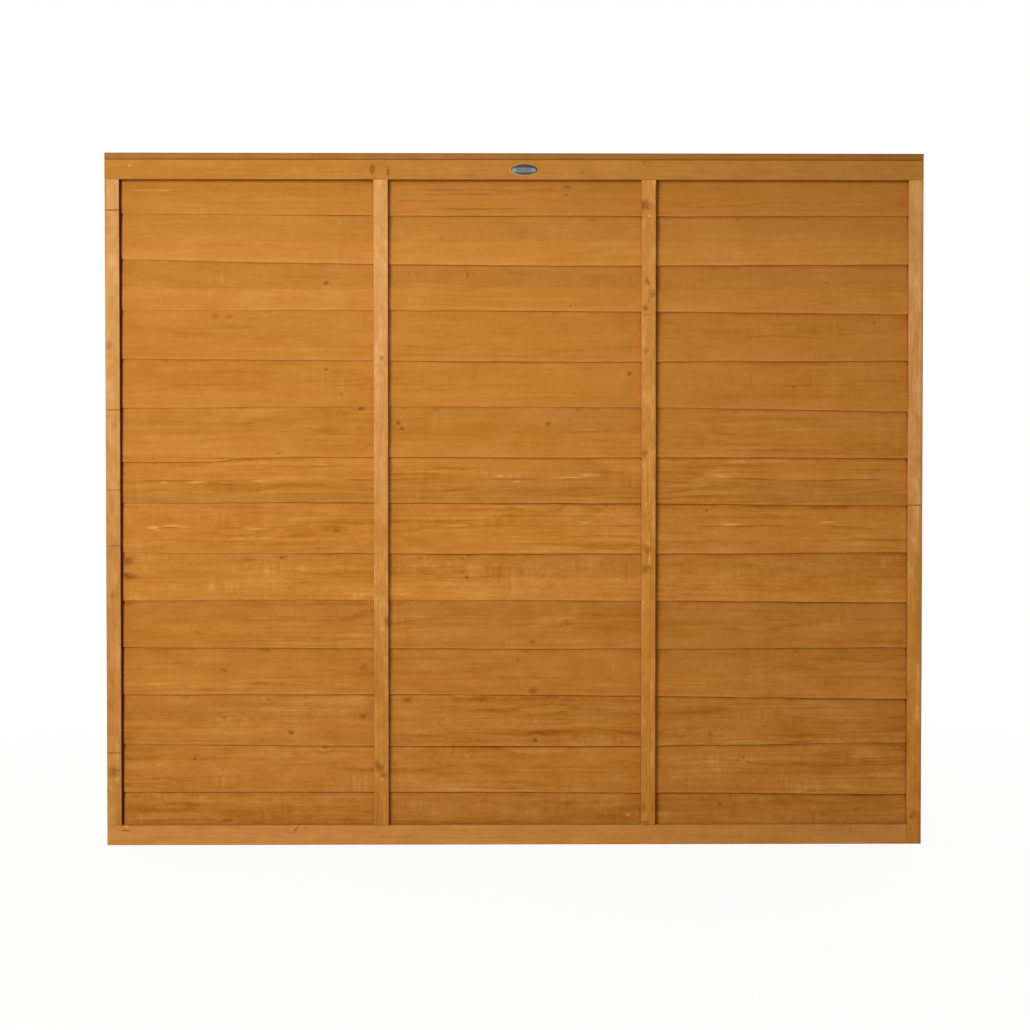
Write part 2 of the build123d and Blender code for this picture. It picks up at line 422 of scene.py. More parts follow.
# Pressed aluminium: satin, finely brushed along the plate; from endsFrom outwards a painted reflection
# of another tone, as the curved ends would catch it
def satinAluminium(name, pale, dark, paintedEndTone, endsFrom):
    material = newMaterial(name)
    tree = material.node_tree
    place = addNode(tree, "TexCoord").outputs["Object"]
    scale = [1 / size for size in aluminiumLook["brush"]]
    spread = addNode(tree, "VectorMath", [place, scale], operation="MULTIPLY").outputs[0]
    brush = addNode(tree, "TexNoise", {"Vector": spread, "Scale": 1.0, "Detail": 3.0}).outputs["Fac"]
    low, high = aluminiumLook["brushSpan"]
    colour = colourLadder(tree, brush, [(low, dark), (high, pale)])
    along = addNode(tree, "SeparateXYZ", [place]).outputs[0]
    along = addNode(tree, "Math", [along, plateMiddle], operation="SUBTRACT").outputs[0]
    along = addNode(tree, "Math", [along], operation="ABSOLUTE").outputs[0]
    endsTo = endsFrom + aluminiumLook["endsFade"]
    paintedEnds = addNode(tree, "MapRange", [along, endsFrom, endsTo]).outputs[0]
    colour = addNode(tree, "Mix", {0: paintedEnds, 6: colour, 7: linearColour(paintedEndTone)},
                     data_type="RGBA").outputs[2]
    rough = addNode(tree, "MapRange", [brush, low, high, *aluminiumLook["rough"]]).outputs[0]
    bump = addNode(tree, "Bump", {"Height": brush, "Strength": 0.15,
                                  "Distance": aluminiumLook["relief"]}).outputs[0]
    shader = addNode(tree, "BsdfPrincipled", {"Base Color": colour, "Metallic": 1.0, "Roughness": rough,
                                              "Normal": bump})
    addNode(tree, "OutputMaterial", [shader.outputs[0]])
    return material


enamelLook = {
    "peel": 0.9 * mm,
    "tones": [(0.3, "#2e2928"), (0.7, "#373130")],
    "rough": (0.3, 0.7, 0.38, 0.48),
    "relief": 0.1 * mm,
}


# Stoved enamel on the plate's border: dark warm grey, smooth with a slight orange peel
def darkEnamel(name):
    material = newMaterial(name)
    tree = material.node_tree
    place = addNode(tree, "TexCoord").outputs["Object"]
    peel = addNode(tree, "TexNoise", {"Vector": place, "Scale": 1 / enamelLook["peel"],
                                      "Detail": 1.0}).outputs["Fac"]
    colour = colourLadder(tree, peel, enamelLook["tones"])
    rough = addNode(tree, "MapRange", [peel, *enamelLook["rough"]]).outputs[0]
    bump = addNode(tree, "Bump", {"Height": peel, "Strength": 0.1,
                                  "Distance": enamelLook["relief"]}).outputs[0]
    shader = addNode(tree, "BsdfPrincipled", {"Base Color": colour, "Roughness": rough, "IOR": 1.5,
                                              "Specular IOR Level": 0.3, "Normal": bump})
    addNode(tree, "OutputMaterial", [shader.outputs[0]])
    return material


slatTimber = dipStainedSlat("dip_stained_sawn_slat", slatLook)
frameTimber = dipStainedFrame("dip_stained_frame_timber", frameLook)
nailSteel = galvanisedSteel("galvanised_nail_steel")
plateMiddle = (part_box("oval_plate")[0][0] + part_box("oval_plate")[1][0]) / 2
# The field's ends take a paler blue grey painted reflection
plateMetal = satinAluminium("satin_plate_aluminium", "#575c59", "#484d4a", "#62686f", 14 * mm)
# The rim is pale beige as a painted highlight along its eased edge
rimHighlightMetal = satinAluminium("rim_aluminium_painted_highlight", "#a58f6d", "#8b7858", "#6f624e", 20 * mm)
plateEnamel = darkEnamel("stoved_border_enamel")
print("materials made")

# Marks on the timbers: x and z of the middle, half length, half height in mm, how faint, 0 to 1,
# and for a slanting one its turn in degrees
slatMarks = {
    "knots": [
        (118, 1476, 15, 9, 0.2), (117, 1458, 11, 8, 0.3), (125, 1210, 9, 7, 0.3),
        (257, 1059, 9, 8, 0.2), (-673, 1187, 11, 8, 0.3), (-423, 1261, 9, 8, 0.3),
        (-424, 1068, 9, 6, 0.3), (-390, 1012, 10, 8, 0.4), (-345, 979, 9, 5, 0.1),
        (-261, 948, 6, 6, 0.1), (-253, 935, 7, 6, 0.1), (75, 945, 9, 8, 0.1), (123, 954, 11, 7, 0.3),
        (-399, 708, 13, 8, 0.0), (-868, 636, 16, 13, 0.0), (-865, 603, 20, 11, 0.0),
        (-108, 600, 8, 7, 0.3), (-213, 644, 12, 7, 0.2), (-103, 649, 10, 7, 0.2), (432, 752, 8, 9, 0.3),
        (627, 1029, 8, 7, 0.3), (-655, 392, 10, 7, 0.0), (-340, 399, 13, 10, 0.1),
        (-342, 288, 11, 10, 0.0), (-504, 251, 10, 6, 0.0), (-654, 284, 13, 7, 0.2),
        (-554, 324, 12, 7, 0.3), (-560, 437, 16, 8, 0.3), (-428, 217, 12, 8, 0.2),
        (-720, 190, 11, 8, 0.3), (40, 344, 14, 10, 0.0), (-241, 323, 11, 9, 0.1),
        (124, 325, 15, 7, 0.1), (40, 455, 10, 7, 0.2), (117, 498, 7, 8, 0.1), (45, 233, 12, 10, 0.3),
        (7, 415, 10, 10, 0.4), (440, 246, 8, 9, 0.0), (516, 194, 8, 11, 0.3), (462, 86, 7, 9, 0.1),
        (487, 105, 12, 8, 0.3), (876, 216, 11, 8, 0.2), (-646, 52, 18, 7, 0.2),
        (-640, 1187, 16, 9, 0.4), (-530, 880, 8, 6, 0.2), (-600, 640, 28, 10, 0.4),
        (-520, 645, 24, 9, 0.4), (700, 1262, 18, 10, 0.5),
    ],
    "tears": [
        (-787, 814, 16, 3.5, 0.2), (-716, 815, 18, 4.5, 0.0), (-695, 812, 14, 3, 0.3),
        (-569, 817, 34, 4, 0.3), (-816, 712, 20, 4, 0.1), (-803, 708, 12, 3, 0.3),
        (-768, 717, 24, 4, 0.0), (-742, 713, 26, 3.5, 0.1), (-591, 711, 40, 5, 0.4),
        (-34, 829, 13, 5, 0.2), (162, 831, 36, 4.5, 0.1), (124, 825, 46, 3, 0.2),
        (3, 817, 20, 3.5, 0.3), (-24, 761, 96, 3, 0.5), (-130, 717, 56, 3.5, 0.4),
        (157, 723, 24, 4.5, 0.2), (463, 829, 34, 6, 0.2), (482, 719, 40, 5, 0.2),
        (707, 723, 36, 6, 0.4), (-106, 196, 8, 8, 0.4), (256, 63, 6, 6, 0.2), (617, 52, 14, 4, 0.3),
        (324, 195, 16, 5, 0.4), (-671, 862, 96, 2.5, 0.6), (-816, 1468, 80, 4, 0.4),
        (164, 933, 30, 4, 0.5), (739, 282, 150, 2.5, 0.5), (-560, 1187, 8, 6, 0.5),
    ],
    "shakes": [
        (-107, 1459, 200, 4, 0.2), (-212, 1445, 90, 3.5, 0.2), (-89, 1427, 200, 4, 0.2),
        (-140, 1470, 150, 3.5, 0.3), (-689, 812, 44, 3, 0.2), (-640, 808, 46, 2.5, 0.3),
        (378, 813, 60, 3, 0.1), (789, 842, 96, 3, 0.3), (771, 710, 120, 2.5, 0.3),
        (742, 1157, 50, 4, 0.3), (-22, 764, 120, 2.5, 0.3), (57, 217, 210, 2.5, 0.2),
        (-600, 1164, 44, 4, 0.5), (-500, 872, 140, 2.5, 0.4), (-662, 868, 100, 2.5, 0.1),
        (-238, 1281, 3, 10, 0.2), (-106, 1280, 3.5, 12, 0.0), (808, 1174, 3.2, 10, 0.0),
        (-80, 1076, 3, 8, 0.2), (787, 635, 3, 15, 0.3), (774, 1397, 3, 16, 0.4),
        (-717, 478, 3.5, 9, 0.4), (-64, 585, 3.5, 11, 0.4), (-428, 400, 3, 9, 0.3),
        (-504, 396, 3.5, 9, 0.4),
    ],
}
frameMarks = {
    "knots": [
        (-298, 1091, 7, 8, 0.1), (-287, 500, 8, 16, 0.0), (-305, 176, 13, 18, 0.0, 30),
        (-296, 156, 11, 12, 0.1), (294, 1433, 17, 15, 0.0), (297, 1262, 14, 24, 0.4, 30),
        (309, 1236, 7, 12, 0.0), (293, 1205, 12, 14, 0.3), (296, 1110, 12, 16, 0.3),
        (291, 880, 13, 13, 0.2), (297, 665, 14, 16, 0.1), (293, 620, 15, 15, 0.0),
        (290, 85, 13, 22, 0.3), (-898, 166, 16, 17, 0.0), (898, 66, 13, 18, 0.1),
        (151, 1505, 14, 10, 0.3), (287, 1527, 9, 7, 0.4), (-318, 1512, 8, 19, 0.1),
        (-283, 1508, 7, 17, 0.15), (295, 48, 12, 8, 0.1), (-905, 1120, 14, 24, 0.4),
        (-893, 940, 14, 22, 0.4), (-899, 560, 14, 24, 0.5),
    ],
    "tears": [
        (-859, 1520, 4, 4, 0.0), (-872, 42, 9, 4, 0.3), (-297, 486, 7, 14, 0.3), (-299, 148, 9, 7, 0.4),
        (303, 640, 5, 14, 0.3), (-900, 1086, 10, 12, 0.4), (300, 1410, 9, 6, 0.4),
    ],
    "shakes": [
        (-898, 1421, 60, 2.4, 0.0), (-898, 976, 60, 2.2, 0.1), (-898, 797, 44, 2.0, 0.2),
        (-898, 672, 50, 2.0, 0.1), (-898, 208, 60, 2.2, 0.1), (897, 763, 50, 2.4, 0.1),
        (-873, 33, 15, 3, 0.0), (-492, 35, 15, 2.5, 0.0, 50), (-508, 27, 12, 2.0, 0.2),
        (-470, 38, 14, 2.0, 0.3), (297, 1190, 16, 2.5, 0.3), (509, 24, 2.0, 12, 0.3),
        (293, 1274, 15, 2.5, 0.4, -52), (299, 1222, 13, 2.5, 0.4, -48), (755, 34, 2.0, 12, 0.3),
    ],
}
noMarks = {"knots": [], "tears": [], "shakes": []}
markMesh = {
    "margin": 0.01,  # a mark this far past a board's ends may still touch it
    "along": (1.5, 6),  # the mesh is refined out to this many half sizes, and so many mm more
    "across": (2.2, 5),
    "cuts": 3,
    "farAway": 4.0,  # distance kept where no mark is near, in half sizes
}
noiseRows = (7.31, 0.57)  # how far apart in the noise two seeds lie
grainShift = 60  # metres along the grain within which each board starts
sharpAngle = 18  # degrees between faces past which an arris stays sharp
longEdge = 0.7  # an edge that runs over more than this share of a board is divided


# Noise along a board; a wave is its length in metres and the seed that tells it from the others
def ripple(place, wave, board):
    size, seed = wave
    row = board + seed
    return noise.noise(Vector((place / size, row * noiseRows[0], row * noiseRows[1])))


def smooth(value, low, high):
    t = min(1.0, max(0.0, (value - low) / (high - low)))
    return t * t * (3 - 2 * t)


# A squared board about the origin, x along, y through and z across, arrises eased, divided for shaping
def squaredBoard(length, depth, width, arris, spacing):
    bm = bmesh.new()
    bmesh.ops.create_cube(bm, size=1.0)
    bmesh.ops.scale(bm, vec=(length, depth, width), verts=bm.verts)
    bmesh.ops.bevel(bm, geom=bm.edges[:], offset=arris, affect="EDGES", segments=2, profile=0.5,
                    material=-1)
    for axis, reach in ((0, length), (2, width), (1, depth)):
        cuts = round(reach / spacing) - 1
        runs = [e for e in bm.edges if abs((e.verts[0].co - e.verts[1].co)[axis]) > longEdge * reach]
        if cuts > 0:
            bmesh.ops.subdivide_edges(bm, edges=runs, cuts=cuts, use_grid_fill=True)
    return bm


def markDistance(place, mark):
    x, z, halfLength, halfHeight, faint = mark[:5]
    turn = math.radians(mark[5]) if len(mark) > 5 else 0.0
    aside, above = place.x - x * mm, place.z - z * mm
    along = aside * math.cos(turn) + above * math.sin(turn)
    across = above * math.cos(turn) - aside * math.sin(turn)
    return faint + math.hypot(along / (halfLength * mm), across / (halfHeight * mm))


# Refines the mesh round the marks of a placed board and keeps each vertex's distance to them
def keepMarks(bm, marks, frontOnly):
    low = [min(v.co[i] for v in bm.verts) - markMesh["margin"] for i in range(3)]
    high = [max(v.co[i] for v in bm.verts) + markMesh["margin"] for i in range(3)]
    alongTimes, alongMore = markMesh["along"]
    acrossTimes, acrossMore = markMesh["across"]
    near = {}
    for kind, places in marks.items():
        near[kind] = [m for m in places
                      if low[0] < m[0] * mm < high[0] and low[2] < m[1] * mm < high[2]]
    allNear = sum(near.values(), [])
    fine = []
    for edge in bm.edges:
        middle = (edge.verts[0].co + edge.verts[1].co) / 2
        if any(abs(middle.x - m[0] * mm) < (m[2] * alongTimes + alongMore) * mm and
               abs(middle.z - m[1] * mm) < (m[3] * acrossTimes + acrossMore) * mm for m in allNear):
            fine.append(edge)
    if fine:
        bmesh.ops.subdivide_edges(bm, edges=fine, cuts=markMesh["cuts"], use_grid_fill=True)
    layer = bm.verts.layers.float_vector.new("marks")
    grain = bm.verts.layers.float_vector["grain"]
    for vert in bm.verts:
        found = []
        for kind in ("knots", "tears", "shakes"):
            hidden = kind != "knots" and vert[grain].z > 0 and frontOnly
            distances = [] if hidden else [markDistance(vert.co, m) for m in near[kind]]
            found.append(min(distances + [markMesh["farAway"]]))
        vert[layer] = found


def finishTimber(bm, name, material):
    bmesh.ops.recalc_face_normals(bm, faces=bm.faces)
    mesh = bpy.data.meshes.new("sawn_" + name)
    bm.to_mesh(mesh)
    bm.free()
    mesh.shade_smooth()
    mesh.set_sharp_from_angle(angle=math.radians(sharpAngle))
    mesh.materials.append(material)
    piece = bpy.data.objects.new("sawn_" + name, mesh)
    bpy.context.collection.objects.link(piece)
    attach(piece, "root")
    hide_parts(name)
    return piece


# Slats, from the lowest up. Tone is that of the whole board and of its upper half; show is how
# strong its grain lines and clouds are and how thin its stain is; step is how strong its saw step
# is. Rise of the lower edge over a straight one and wear of its front arris are in mm, in the
# left, middle and right bay.
slatBoards = [
    {"tone": (0.95, 0.97), "show": (1.1, 1.05, 0.00), "step": 0.1,
     "rise": (0.0, 0.0, 0.0), "wear": (1.8, 1.2, 0.8)},
    {"tone": (0.97, 0.99), "show": (1.2, 0.95, 0.00), "step": 0.1,
     "rise": (2.0, 0.6, -2.4), "wear": (1.8, 1.2, 0.8)},
    {"tone": (0.96, 0.96), "show": (1.4, 0.95, 0.00), "step": 0.5,
     "rise": (0.0, -2.5, 0.6), "wear": (3.0, 0.5, 2.4)},
    {"tone": (0.99, 0.95), "show": (1.0, 0.75, 0.00), "step": 0.3,
     "rise": (6.5, 5.0, -1.0), "wear": (2.8, 2.2, 0.8)},
    {"tone": (0.96, 0.95), "show": (0.8, 0.75, 0.00), "step": 0.3,
     "rise": (4.0, 1.3, 2.4), "wear": (2.6, 2.4, 2.2)},
    {"tone": (1.07, 0.91), "show": (0.8, 1.00, 0.02), "step": 0.5,
     "rise": (3.6, 2.5, -0.4), "wear": (4.6, 4.6, 0.8)},
    {"tone": (1.04, 0.99), "show": (1.1, 0.80, 0.00), "step": 1.0,
     "rise": (1.4, 0.2, 1.4), "wear": (4.0, 1.2, 1.0)},
    {"tone": (0.90, 1.11), "show": (1.2, 0.65, 0.00), "step": 1.0,
     "rise": (6.9, 6.0, 2.6), "wear": (2.8, 1.4, 1.4)},
    {"tone": (1.03, 0.94), "show": (0.8, 0.62, 0.00), "step": 0.4,
     "rise": (0.0, 1.1, 0.4), "wear": (1.8, 1.2, 0.8)},
    {"tone": (1.02, 0.98), "show": (0.5, 0.60, 0.00), "step": 0.5,
     "rise": (6.4, 6.6, 0.8), "wear": (5.2, 5.2, 1.4)},
    {"tone": (1.01, 0.97), "show": (0.5, 0.55, 0.02), "step": 0.3,
     "rise": (3.8, 0.7, 1.3), "wear": (2.6, 1.8, 0.8)},
    {"tone": (1.03, 0.90), "show": (0.4, 0.58, 0.06), "step": 0.25,
     "rise": (7.4, 6.7, 2.0), "wear": (5.2, 1.2, 0.8)},
    {"tone": (1.04, 0.89), "show": (0.3, 0.48, 0.09), "step": 0.2,
     "rise": (7.6, 0.6, 1.2), "wear": (2.6, 0.2, 0.2)},
    {"tone": (0.96, 0.93), "show": (0.5, 0.42, 0.03), "step": 0.1,
     "rise": (5.6, 3.2, 3.0), "wear": (3.4, 0.8, 0.8)},
]
slat = {
    "width": 125 * mm,
    "thickness": 6 * mm,
    "arris": 0.9 * mm,
    "spacing": 9 * mm,  # mesh spacing
    "closeRows": (2 * mm, 4.5 * mm),  # extra mesh rows above the lower edge
    "edgeWander": 1.5 * mm,  # how far the lower edge strays from its line
    "edgeRag": 0.8 * mm,
    "edgeReach": 0.35,  # share of the width over which that fades
    "topWander": 0.8 * mm,
    "topFrom": 0.8,  # share of the width past which the hidden top edge wanders
    "wearReach": 24 * mm,
    "wearUneven": 1.2,  # mm
    "wearMost": 5.2,  # mm
    "spring": 0.4 * mm,  # how far the lower edge springs off between the battens
    "springReach": 0.6,
    "cup": 0.4,  # mm at most, hollow or crowned
    "stepHeight": 57 * mm,  # where the two saw cuts meet, above the lower edge
    "stepScatter": 4,  # mm from board to board
    "stepWander": 6.0 * mm,
    "stepRag": 1.5 * mm,
    "stepReach": 30 * mm,
    "stepRun": 1 * mm,  # height over which the face steps back
    "stepDepth": 0.35 * mm,
    # a strip left on below the edge, from the left end: full up to one x, gone at the next
    "dropped": {"slat_09": (-0.70, -0.58, 9 * mm)},
    "noDrop": (-9.0, -8.0, 0.0),
    # the more, the less painted shade beside that batten
    "cornerShift": (-1.6 * mm, 1.9 * mm, 2.4 * mm, 2.4 * mm),
    "cornerSpread": 1.6 * mm,  # how much further it reaches just below a lap
    "cornerFade": 12 * mm,
    # mm, the more, the less painted shade under the laps of the left, middle and right bay
    "lapShift": (3.5, 1.0, -1.5),
    "bayLimit": 1.4,  # bays from the middle out to which values are drawn on
    "waves": {"edge": (0.30, 31), "edgeRag": (0.06, 57), "step": (0.20, 3), "stepRag": (0.04, 7),
              "top": (0.3, 71), "wear": (0.2, 113), "spring": (0.5, 93)},
    "seed": 21,
}


# A smooth line through the values of the left, middle and right bay
def throughBays(values, x, bayWidth):
    t = min(slat["bayLimit"], max(-slat["bayLimit"], x / bayWidth))
    left, centre, right = values
    return centre + (right - left) / 2 * t + ((left + right) / 2 - centre) * t * t


def edgeRise(index, x, bayWidth):
    if index >= len(slatBoards):
        return 0.0
    rise = throughBays(slatBoards[index]["rise"], x, bayWidth) * mm
    waves = slat["waves"]
    rise += (slat["edgeWander"] * ripple(x, waves["edge"], index)
             + slat["edgeRag"] * ripple(x, waves["edgeRag"], index))
    start, end, drop = slat["dropped"].get("slat_%02d" % (index + 1), slat["noDrop"])
    return rise - drop * (1 - smooth(x, start, end))


slatNames = sorted(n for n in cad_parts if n.startswith("slat_"))
battenNames = sorted(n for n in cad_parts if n.endswith("_batten"))
battenLines = sorted({round(sum(c.x for c in map(Vector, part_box(n))) / 2, 4) for n in battenNames})
bayWidth = battenLines[1] - battenLines[0]
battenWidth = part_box(battenNames[0])[1][0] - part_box(battenNames[0])[0][0]
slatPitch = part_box(slatNames[1])[0][2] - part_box(slatNames[0])[0][2]
slatTilt = math.asin(slat["thickness"] / slatPitch)
waves = slat["waves"]
draw = random.Random(slat["seed"])
slatPieces = []
for i, name in enumerate(slatNames):
    low, high = map(Vector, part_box(name))
    length = high.x - low.x
    bm = squaredBoard(length, slat["thickness"], slat["width"], slat["arris"], slat["spacing"])
    board = slatBoards[i]
    scatter = draw.uniform(-slat["stepScatter"], slat["stepScatter"]) * mm
    step = slat["stepHeight"] + scatter - slat["width"] / 2
    rows = [step, step + slat["stepRun"]] + [row - slat["width"] / 2 for row in slat["closeRows"]]
    for height in rows:  # close rows carry the saw step and the worn edge
        bmesh.ops.bisect_plane(bm, geom=bm.verts[:] + bm.edges[:] + bm.faces[:],
                               plane_co=(0, 0, height), plane_no=(0, 0, 1))
    grain = bm.verts.layers.float_vector.new("grain")
    tone = bm.verts.layers.float_vector.new("boardTone")
    edges = bm.verts.layers.float_vector.new("edges")
    show = bm.verts.layers.float_vector.new("show")
    sawStep = bm.verts.layers.float.new("sawStep")
    shift = draw.uniform(0, grainShift)
    cup = draw.uniform(-slat["cup"], slat["cup"]) * mm
    wholeTone, upperTone = board["tone"]
    for vert in bm.verts:
        x, y, z = vert.co
        height = z + slat["width"] / 2
        up = height / slat["width"]
        vert[grain] = (x + shift, height, y)
        above = z - step
        vert[tone] = (wholeTone, upperTone, above)
        # Distance from the nearest batten's side, for the painted shade beside it
        nearest = min(range(len(battenLines)), key=lambda k: abs(x - battenLines[k]))
        fromBatten = abs(x - battenLines[nearest]) - battenWidth / 2 + slat["cornerShift"][nearest]
        vert[show] = board["show"]
        vert[sawStep] = board["step"]
        # Depth below the lap above, for the painted shade under it
        belowLap = slatPitch + edgeRise(i + 1, x, bayWidth) - height
        fromBatten -= slat["cornerSpread"] * (1 - smooth(belowLap, 0.0, slat["cornerFade"]))
        belowLapShade = belowLap + throughBays(slat["lapShift"], x, bayWidth) * mm
        vert[edges] = (height, belowLapShade, fromBatten)
        stray = slat["stepWander"] * ripple(x, waves["step"], i)
        stray += slat["stepRag"] * ripple(x, waves["stepRag"], i)
        vert.co.z += stray * (1 - smooth(abs(above), 0.0, slat["stepReach"]))
        if above > slat["stepRun"] / 2:
            vert.co.y += slat["stepDepth"] * board["step"] * (1 if y < 0 else -1)
        vert.co.z += edgeRise(i, x, bayWidth) * (1 - smooth(up, 0.0, slat["edgeReach"]))
        atTop = smooth(up, slat["topFrom"], 1.0)
        vert.co.z -= slat["topWander"] * abs(ripple(x, waves["top"], i)) * atTop
        if y < 0:
            wear = throughBays(board["wear"], x, bayWidth)
            wear += slat["wearUneven"] * ripple(x, waves["wear"], i)
            wear = min(slat["wearMost"], max(0.0, wear)) * mm
            vert.co.y += wear * (1 - min(1.0, height / slat["wearReach"])) ** 2
        bay = min((b for b in zip(battenLines, battenLines[1:]) if x <= b[1]), default=battenLines[-2:])
        across = min(1.0, max(0.0, (x - bay[0]) / bayWidth))
        loose = math.sin(math.pi * across) ** 2 * (0.5 + 0.5 * ripple(x, waves["spring"], i))
        vert.co.y -= slat["spring"] * loose * (1 - smooth(up, 0.0, slat["springReach"]))
        vert.co.y += cup * (4 * (up - 0.5) ** 2 - 0.5) * math.sin(math.pi * across) ** 2
    turn = Matrix.Translation((low + high) / 2) @ Matrix.Rotation(-slatTilt, 4, "X")
    bmesh.ops.transform(bm, matrix=turn, verts=bm.verts)
    keepMarks(bm, slatMarks, True)
    slatPieces.append(finishTimber(bm, name, slatTimber))
print("slats made:", len(slatPieces))

# Battens, rails and cap. Tones are whole board, paleness at its far end (top or right), at its
# near end, and how much painted shade lies in its corner against the slats. Show is as for the slats.
timber = {
    "arris": 1.4 * mm,
    "spacing": 8 * mm,
    "bow": 0.6 * mm,
    "rag": {"batten": 0.5, "rail": 0.5, "cap": 0.4},  # raggedness of the arrises, as a share of the bow
    "ragDepth": 0.6,
    "ragFrom": 0.8,  # share of the half width past which it shows
    "skin": 0.35 * mm,  # planed below the CAD face, so that nail heads stand proud of it
    "paleSpan": (0.15, 0.85),  # share of the length over which the paleness changes
    "paleWander": 0.12,
    "cornerReach": (1 * mm, 5 * mm),  # from the face back
    "arrisShade": 0.42,  # painted shade in the joint between rail and cap, and along the cap's front arrises
    "arrisBand": 1 * mm,
    "capBand": 1.1,  # in arrises, with capFade of the shade past arrisBand
    "capFade": 0.4,
    "outerShade": 0.24,  # and painted shade along the outer arris of the right batten
    "outerBand": (7 * mm, 1 * mm),
    "waves": {"pale": (0.2, 5), "rag": (0.05, 11), "bow": (0.6, 41)},
    "seed": 5,
    "show": {"batten": (1.0, 1.0, 0.0), "rail": (0.5, 0.5, 0.0), "cap": (0.5, 0.5, 0.0)},
    "tones": {
        "left_batten": (0.96, 1.00, 0.30, 0.95),
        "inner_left_batten": (1.02, 0.97, 0.10, 0.28),
        "inner_right_batten": (1.12, 0.28, 0.00, 0.22),
        "right_batten": (1.15, 0.85, 0.00, 0.25),
        "bottom_rail": (1.08, 0.25, 0.38, 0.25),
        "top_rail": (0.95, 0.14, 0.04, 0.25),
        "cap": (0.76, 0.05, 0.14, 0.00),
    },
    # the side in its own z that meets the slats, where only one does
    "slatSide": {"left_batten": -1, "right_batten": 1, "bottom_rail": 1, "top_rail": -1},
}
layRound = {  # how a board is turned from its own axes to stand in the panel
    "batten": Matrix.Rotation(-math.pi / 2, 4, "Y"),
    "rail": Matrix.Identity(4),
    "cap": Matrix.Rotation(-math.pi / 2, 4, "X"),
}
draw = random.Random(timber["seed"])
waves = timber["waves"]
arris = timber["arris"]
arrisBand = timber["arrisBand"]
framePieces = []
timberNames = [n for n in sorted(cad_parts) if n.rsplit("_", 1)[-1] in layRound]
for i, name in enumerate(timberNames):
    low, high = map(Vector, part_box(name))
    size = high - low
    middle = (low + high) / 2
    kind = name.rsplit("_", 1)[-1]
    ownName = name.split("_", 1)[-1]
    outward = -1 if name.startswith("front") else 1
    if kind == "cap":
        size.z -= timber["skin"]
        middle.z -= timber["skin"] / 2
        length, depth, width = size.x, size.z, size.y
    else:
        size.y -= timber["skin"] if outward > 0 else 0
        middle.y -= timber["skin"] / 2 if outward > 0 else 0
        length, depth, width = size
        if kind == "batten":
            length, width = width, length
    bm = squaredBoard(length, depth, width, arris, timber["spacing"])
    grain = bm.verts.layers.float_vector.new("grain")
    tone = bm.verts.layers.float_vector.new("boardTone")
    show = bm.verts.layers.float_vector.new("show")
    shift = draw.uniform(0, grainShift)
    wholeTone, farPale, nearPale, cornerShadeShare = timber["tones"][ownName]
    slatSide = timber["slatSide"].get(ownName, 0)
    for vert in bm.verts:
        x, y, z = vert.co
        vert[grain] = (x + shift, z, y)
        run = x / length + 0.5
        towardsFar = smooth(run + timber["paleWander"] * ripple(x, waves["pale"], i),
                            *timber["paleSpan"])
        pale = nearPale + (farPale - nearPale) * towardsFar
        # Painted shade on the sides that meet the slats, from just behind the face
        shade = 0.0
        if kind != "cap":
            behind = depth / 2 + y if outward < 0 else depth / 2 - y
            inner = slatSide == 0 or z * slatSide > 0
            shade = cornerShadeShare * smooth(behind, *timber["cornerReach"]) * inner
            # Painted shade along the right batten's outer arris
            if name == "front_right_batten":
                band = [width / 2 - inset for inset in timber["outerBand"]]
                shade += timber["outerShade"] * smooth(-z, *band)
            # Painted shade along the front top rail's top arris, in the joint with the cap
            if name == "front_top_rail" and z > width / 2 - arrisBand:
                shade = timber["arrisShade"]
        # Painted shade along the cap's front arrises
        elif max(z + width / 2, depth / 2 - abs(y)) < arris * timber["capBand"]:
            shade = timber["arrisShade"]
            if abs(y) <= depth / 2 - arrisBand:
                shade *= timber["capFade"]
        vert[tone] = (wholeTone, pale, shade)
        vert[show] = timber["show"][kind]
        edge = min(1.0, max(abs(z) / (width / 2), abs(y) / (depth / 2)))
        side = 1 if z > 0 else -1
        rag = timber["bow"] * ripple(x, waves["rag"], i + 3 * (z > 0)) * timber["rag"][kind]
        rag = abs(rag) * smooth(edge, timber["ragFrom"], 1.0) * timber["ragDepth"]
        vert.co.z -= rag * side
        if kind == "batten":
            ends = math.sin(math.pi * min(1.0, max(0.0, run)))
            vert.co.z += timber["bow"] * ripple(x, waves["bow"], i) * ends
    turn = Matrix.Translation(middle) @ layRound[kind]
    bmesh.ops.transform(bm, matrix=turn, verts=bm.verts)
    keepMarks(bm, frameMarks if name.startswith("front") else noMarks, False)
    framePieces.append(finishTimber(bm, name, frameTimber))
print("frame timbers made:", len(framePieces))

# Nails keep their CAD shapes
for name in ("frame_nails", "cap_nails"):
    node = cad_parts[name]
    node.data.materials.clear()
    node.data.materials.append(nailSteel)
print("nails dressed")

# Bare oval plate: an eased rim with a painted highlight, a dark enamelled border and a crowned satin
# field
plate = {
    "rimDepth": 1.1 * mm,
    "rimEase": 0.9 * mm,
    "borderRise": 0.15 * mm,
    "fieldLength": 53.5 * mm,
    "fieldHeight": 11.6 * mm,
    "fieldDrop": 1.7 * mm,
    "fieldSink": 0.1 * mm,
    "fieldFlat": 0.62,  # below 1 flattens the field's long edges
    "fieldCrown": [(1.0, 0.25), (1.4, 0.2), (1.6, 0.12)],  # inset and rise of each ring, mm
    "segments": 72,
    "sharpAngle": 30,
}


def ovalDisc(bm, length, height):
    made = bmesh.ops.create_circle(bm, cap_ends=True, segments=plate["segments"], radius=0.5)
    bmesh.ops.scale(bm, vec=(length, height, 1), verts=made["verts"])
    return made["verts"][0].link_faces[0]


